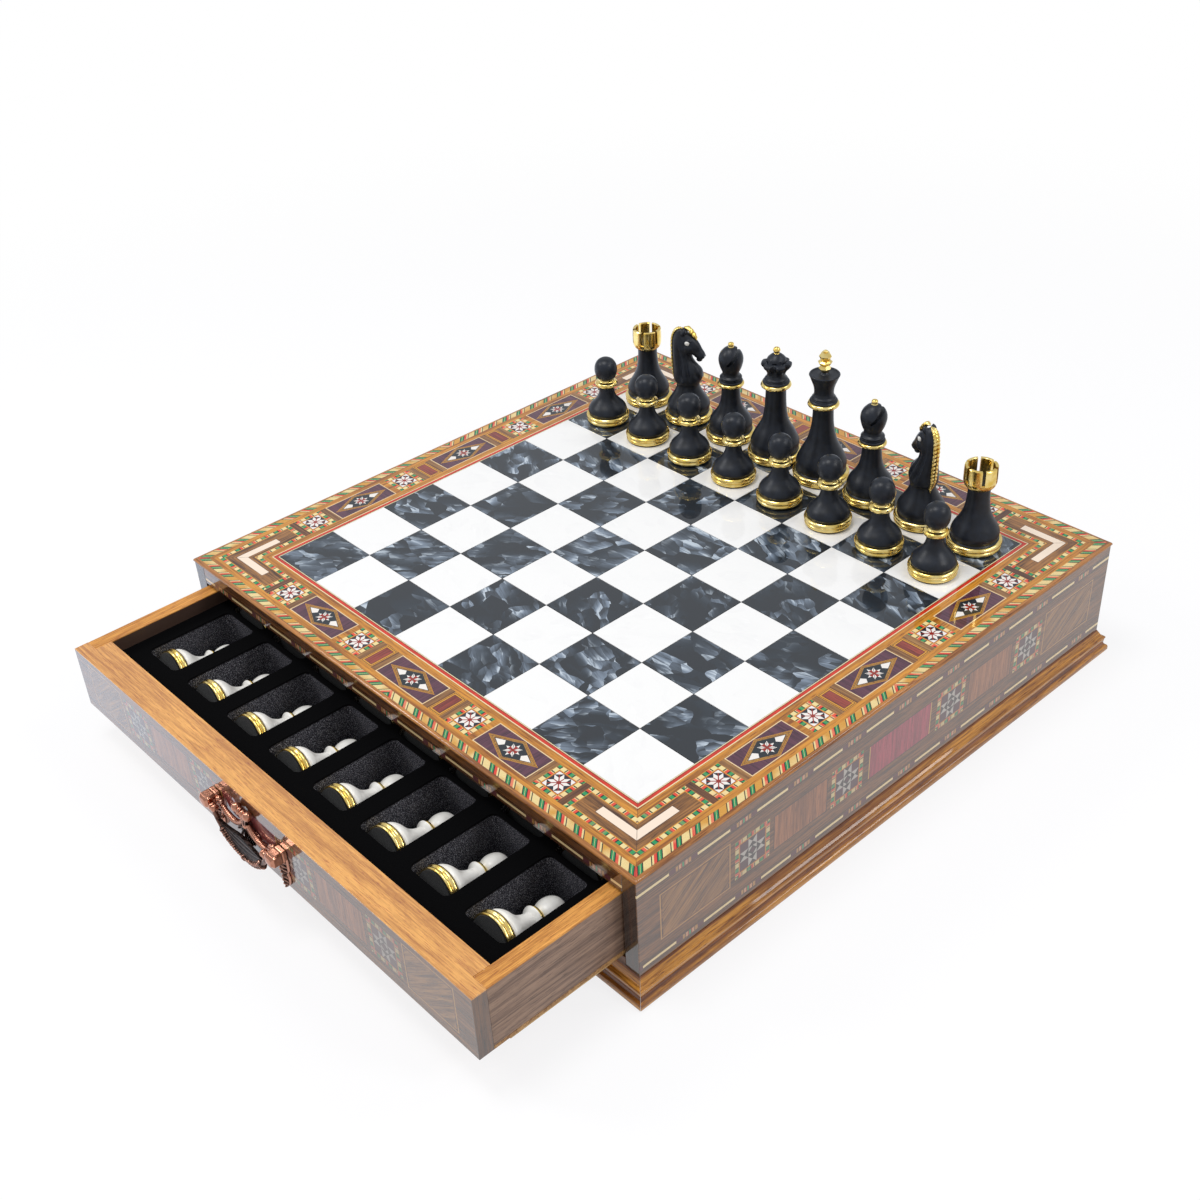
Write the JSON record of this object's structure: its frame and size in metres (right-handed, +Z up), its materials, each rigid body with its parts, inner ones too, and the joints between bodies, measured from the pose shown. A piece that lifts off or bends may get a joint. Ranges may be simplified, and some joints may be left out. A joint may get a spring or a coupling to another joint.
{
  "type": "chess box with drawers",
  "caption": "Square inlaid chess box: a board on top, black men standing on it, and two sliding drawers with pocketed trays; white men lie in the open front drawer.",
  "frame": {"origin": "centre of the flat underside, on the surface the box stands on", "axes": "+Z up; -Y is the side of the open front drawer; +X to the right seen from it"},
  "size_m": [0.408, 0.5061, 0.171],
  "materials": {
    "walnut": "satin lacquer",
    "mahogany": "gloss lacquer",
    "honey_wood": "satin lacquer",
    "base_cloth": "plain",
    "border": "gloss lacquer",
    "rope": "gloss lacquer",
    "lines": "gloss lacquer",
    "light_square": "gloss lacquer",
    "dark_square": "gloss lacquer",
    "marquetry": "gloss lacquer",
    "velvet": "short pile",
    "copper": "cast, worn",
    "steel": "plain",
    "black_man": "matt black lacquer with gilding",
    "white_man": "white lacquer with gilding"
  },
  "bodies": {
    "case": {"base_moulding": "mahogany", "base_board": "base_cloth", "floor_panel": "walnut", "left_side": "walnut", "right_side": "walnut", "front_rail": "walnut", "back_rail": "walnut", "centre_divider": "walnut", "top_board": "mahogany", "border_veneer": "border", "rope_inlay": "rope", "line_inlay": "lines", "light_squares": "light_square", "dark_squares": "dark_square", "corner_inlays": "marquetry", "lozenge_panels": "marquetry", "star_tiles": "marquetry", "red_tiles": "marquetry"},
    "front_drawer": {"front_drawer_face": "walnut", "front_drawer_left_board": "honey_wood", "front_drawer_right_board": "honey_wood", "front_drawer_back_board": "honey_wood", "front_drawer_bottom_panel": "honey_wood", "front_drawer_tray": "velvet", "front_drawer_glides": "honey_wood", "front_drawer_pull_posts": "copper", "front_drawer_pull_screws": "steel", "white_pawns": "white_man", "white_rooks": "white_man", "white_knights": "white_man", "white_bishops": "white_man", "white_queen": "white_man", "white_king": "white_man"},
    "back_drawer": {"back_drawer_face": "walnut", "back_drawer_left_board": "honey_wood", "back_drawer_right_board": "honey_wood", "back_drawer_back_board": "honey_wood", "back_drawer_bottom_panel": "honey_wood", "back_drawer_tray": "velvet", "back_drawer_glides": "honey_wood", "back_drawer_pull_posts": "copper", "back_drawer_pull_screws": "steel"},
    "front_bail": {"front_drawer_pull_bail": "copper"},
    "back_bail": {"back_drawer_pull_bail": "copper"},
    "black_rook_left": {"black_rook_left": "black_man"},
    "black_knight_left": {"black_knight_left": "black_man"},
    "black_bishop_left": {"black_bishop_left": "black_man"},
    "black_queen": {"black_queen": "black_man"},
    "black_king": {"black_king": "black_man"},
    "black_bishop_right": {"black_bishop_right": "black_man"},
    "black_knight_right": {"black_knight_right": "black_man"},
    "black_rook_right": {"black_rook_right": "black_man"},
    "black_pawn_1": {"black_pawn_1": "black_man"},
    "black_pawn_2": {"black_pawn_2": "black_man"},
    "black_pawn_3": {"black_pawn_3": "black_man"},
    "black_pawn_4": {"black_pawn_4": "black_man"},
    "black_pawn_5": {"black_pawn_5": "black_man"},
    "black_pawn_6": {"black_pawn_6": "black_man"},
    "black_pawn_7": {"black_pawn_7": "black_man"},
    "black_pawn_8": {"black_pawn_8": "black_man"}
  },
  "joints": [
    {"name": "front_drawer_slide", "type": "slide", "parent": "case", "child": "front_drawer", "axis": [0, -1, 0], "range_m": [-0.0905, 0.0595]},
    {"name": "back_drawer_slide", "type": "slide", "parent": "case", "child": "back_drawer", "axis": [0, 1, 0], "range_m": [0, 0.15]},
    {"name": "front_bail_swing", "type": "hinge", "parent": "front_drawer", "child": "front_bail", "pos_m": [0, -0.2953, 0.048], "axis": [-1, 0, 0], "range_deg": [0, 165]},
    {"name": "back_bail_swing", "type": "hinge", "parent": "back_drawer", "child": "back_bail", "pos_m": [0, 0.2048, 0.048], "axis": [1, 0, 0], "range_deg": [0, 165]},
    {"name": "black_rook_left_lift", "type": "slide", "parent": "case", "child": "black_rook_left", "axis": [0, 0, 1], "range_m": [0, 0.1]},
    {"name": "black_knight_left_lift", "type": "slide", "parent": "case", "child": "black_knight_left", "axis": [0, 0, 1], "range_m": [0, 0.1]},
    {"name": "black_bishop_left_lift", "type": "slide", "parent": "case", "child": "black_bishop_left", "axis": [0, 0, 1], "range_m": [0, 0.1]},
    {"name": "black_queen_lift", "type": "slide", "parent": "case", "child": "black_queen", "axis": [0, 0, 1], "range_m": [0, 0.1]},
    {"name": "black_king_lift", "type": "slide", "parent": "case", "child": "black_king", "axis": [0, 0, 1], "range_m": [0, 0.1]},
    {"name": "black_bishop_right_lift", "type": "slide", "parent": "case", "child": "black_bishop_right", "axis": [0, 0, 1], "range_m": [0, 0.1]},
    {"name": "black_knight_right_lift", "type": "slide", "parent": "case", "child": "black_knight_right", "axis": [0, 0, 1], "range_m": [0, 0.1]},
    {"name": "black_rook_right_lift", "type": "slide", "parent": "case", "child": "black_rook_right", "axis": [0, 0, 1], "range_m": [0, 0.1]},
    {"name": "black_pawn_1_lift", "type": "slide", "parent": "case", "child": "black_pawn_1", "axis": [0, 0, 1], "range_m": [0, 0.1]},
    {"name": "black_pawn_2_lift", "type": "slide", "parent": "case", "child": "black_pawn_2", "axis": [0, 0, 1], "range_m": [0, 0.1]},
    {"name": "black_pawn_3_lift", "type": "slide", "parent": "case", "child": "black_pawn_3", "axis": [0, 0, 1], "range_m": [0, 0.1]},
    {"name": "black_pawn_4_lift", "type": "slide", "parent": "case", "child": "black_pawn_4", "axis": [0, 0, 1], "range_m": [0, 0.1]},
    {"name": "black_pawn_5_lift", "type": "slide", "parent": "case", "child": "black_pawn_5", "axis": [0, 0, 1], "range_m": [0, 0.1]},
    {"name": "black_pawn_6_lift", "type": "slide", "parent": "case", "child": "black_pawn_6", "axis": [0, 0, 1], "range_m": [0, 0.1]},
    {"name": "black_pawn_7_lift", "type": "slide", "parent": "case", "child": "black_pawn_7", "axis": [0, 0, 1], "range_m": [0, 0.1]},
    {"name": "black_pawn_8_lift", "type": "slide", "parent": "case", "child": "black_pawn_8", "axis": [0, 0, 1], "range_m": [0, 0.1]}
  ]
}
